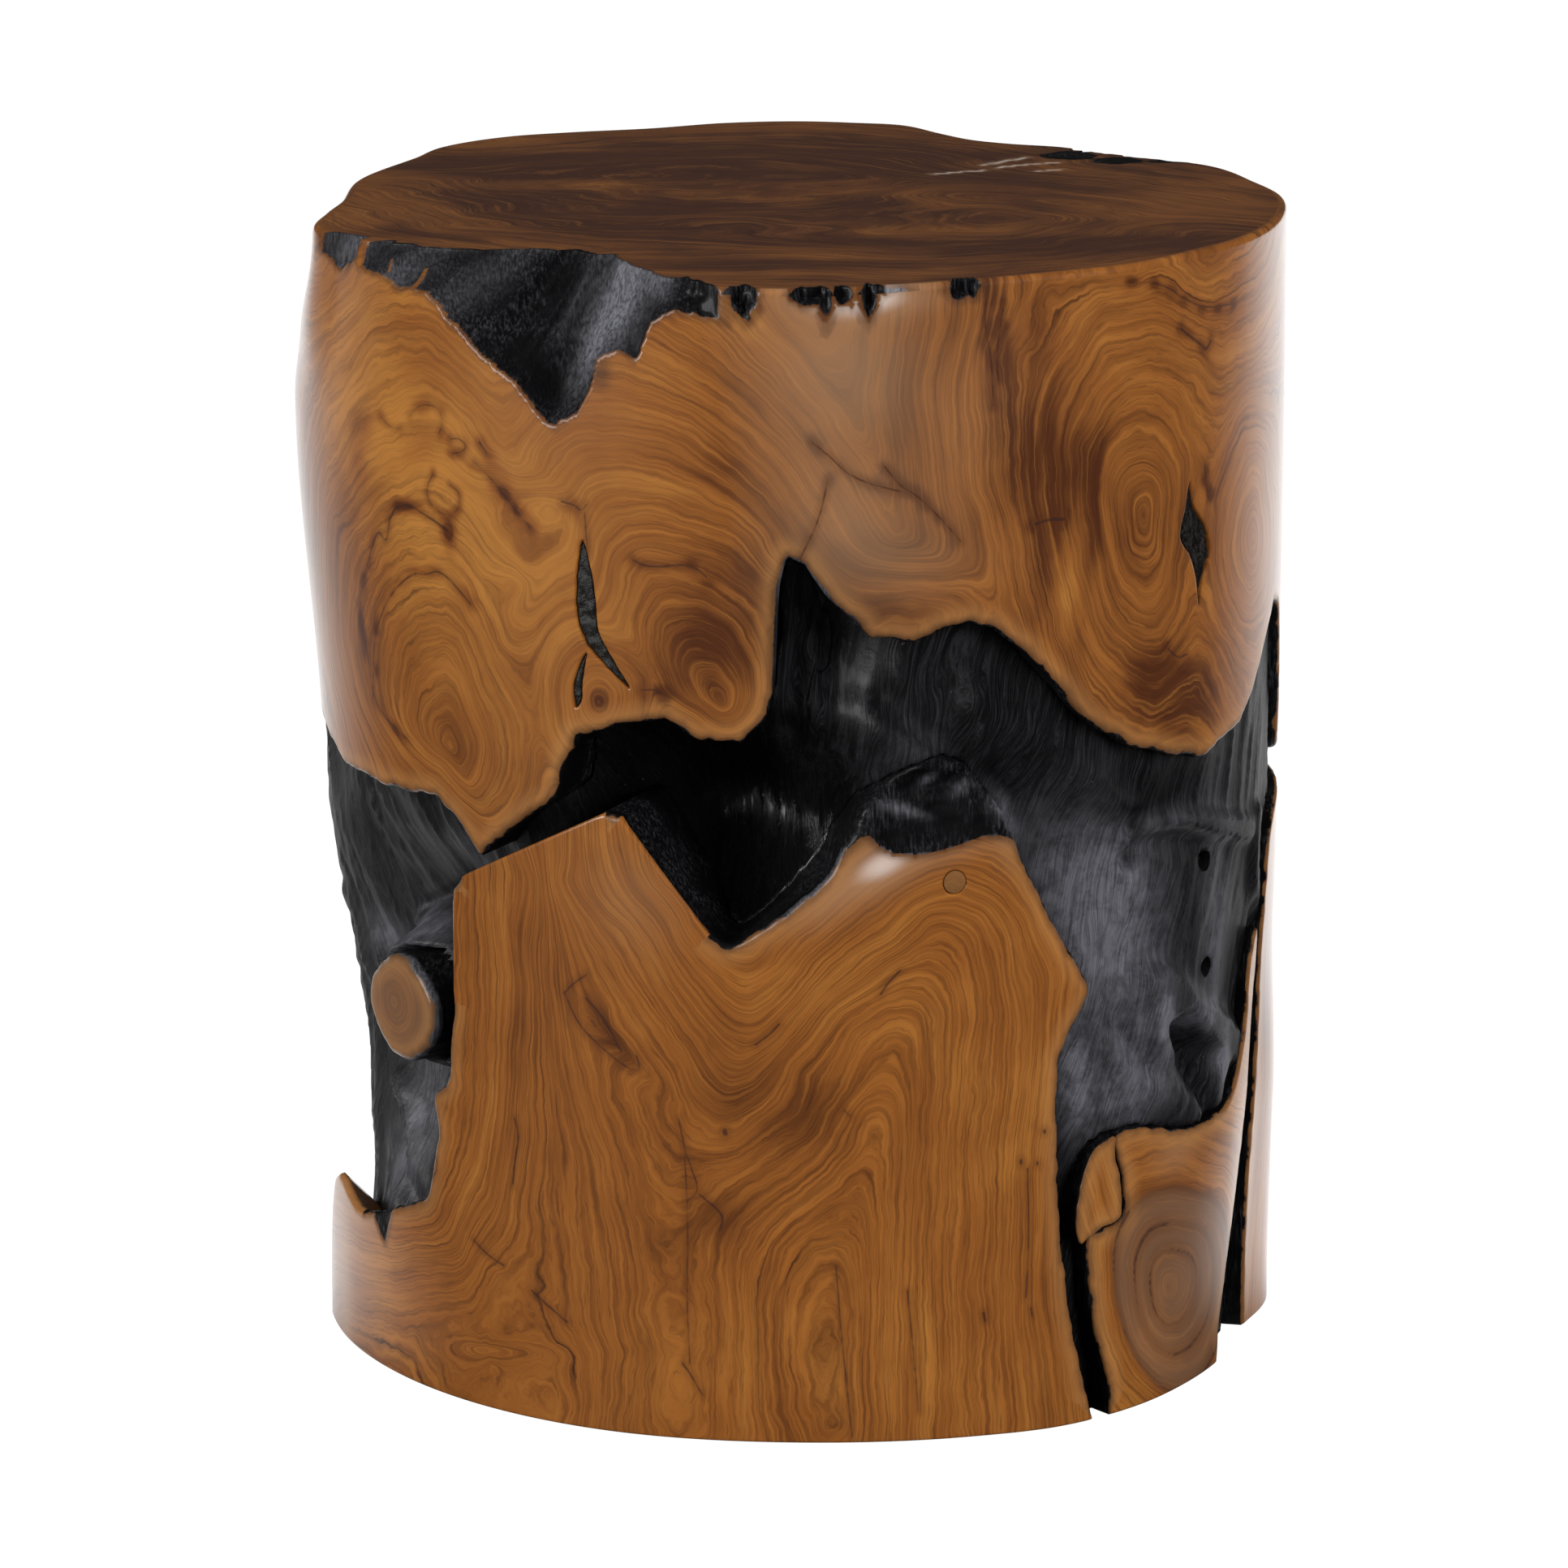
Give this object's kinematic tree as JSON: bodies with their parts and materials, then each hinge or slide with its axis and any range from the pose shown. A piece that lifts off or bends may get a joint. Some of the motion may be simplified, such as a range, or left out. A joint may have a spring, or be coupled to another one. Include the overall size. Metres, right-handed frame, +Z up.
{
  "type": "stump stool",
  "caption": "Solid drum stool or side table made of pieces of a tree root, with a flat seat, charred hollows and natural edges.",
  "frame": {"origin": "on the floor, on the drum's upright axis, at the middle of the root's flat bottom", "axes": "+Z up through the seat, -Y to the front with the tall sawn block, +X to the viewer's right"},
  "size_m": [0.3972, 0.395, 0.457],
  "materials": {
    "crown_wood": "satin lacquered red-brown root wood",
    "block_wood": "satin lacquered golden-brown root wood",
    "charred_root": "black charred and sealed root, fibrous",
    "dowel_wood": "plain turned hardwood",
    "dark_filler": "black resin filler, slightly rough",
    "screw_steel": "dull zinc-plated steel"
  },
  "bodies": {
    "root": {"crown_block": "crown_wood", "front_block": "block_wood", "right_foot": "block_wood", "foot_patch": "block_wood", "rear_right_block": "block_wood", "rear_left_block": "block_wood", "branch_stub": "block_wood", "root_core": "charred_root", "root_right": "charred_root", "front_plug_dowel": "dowel_wood", "screw_upper": "screw_steel", "screw_lower": "screw_steel", "check_filler_long": "dark_filler", "check_filler_short": "dark_filler", "check_filler_eye": "dark_filler", "crown_dowel_1": "dowel_wood", "crown_dowel_2": "dowel_wood", "crown_dowel_3": "dowel_wood", "crown_dowel_4": "dowel_wood", "front_dowel_left": "dowel_wood", "front_dowel_middle": "dowel_wood", "front_dowel_low": "dowel_wood", "foot_dowel_upper": "dowel_wood", "foot_dowel_lower": "dowel_wood", "rear_right_dowel_upper": "dowel_wood", "rear_right_dowel_lower": "dowel_wood", "rear_left_dowel_upper": "dowel_wood", "rear_left_dowel_lower": "dowel_wood"}
  },
  "joints": []
}
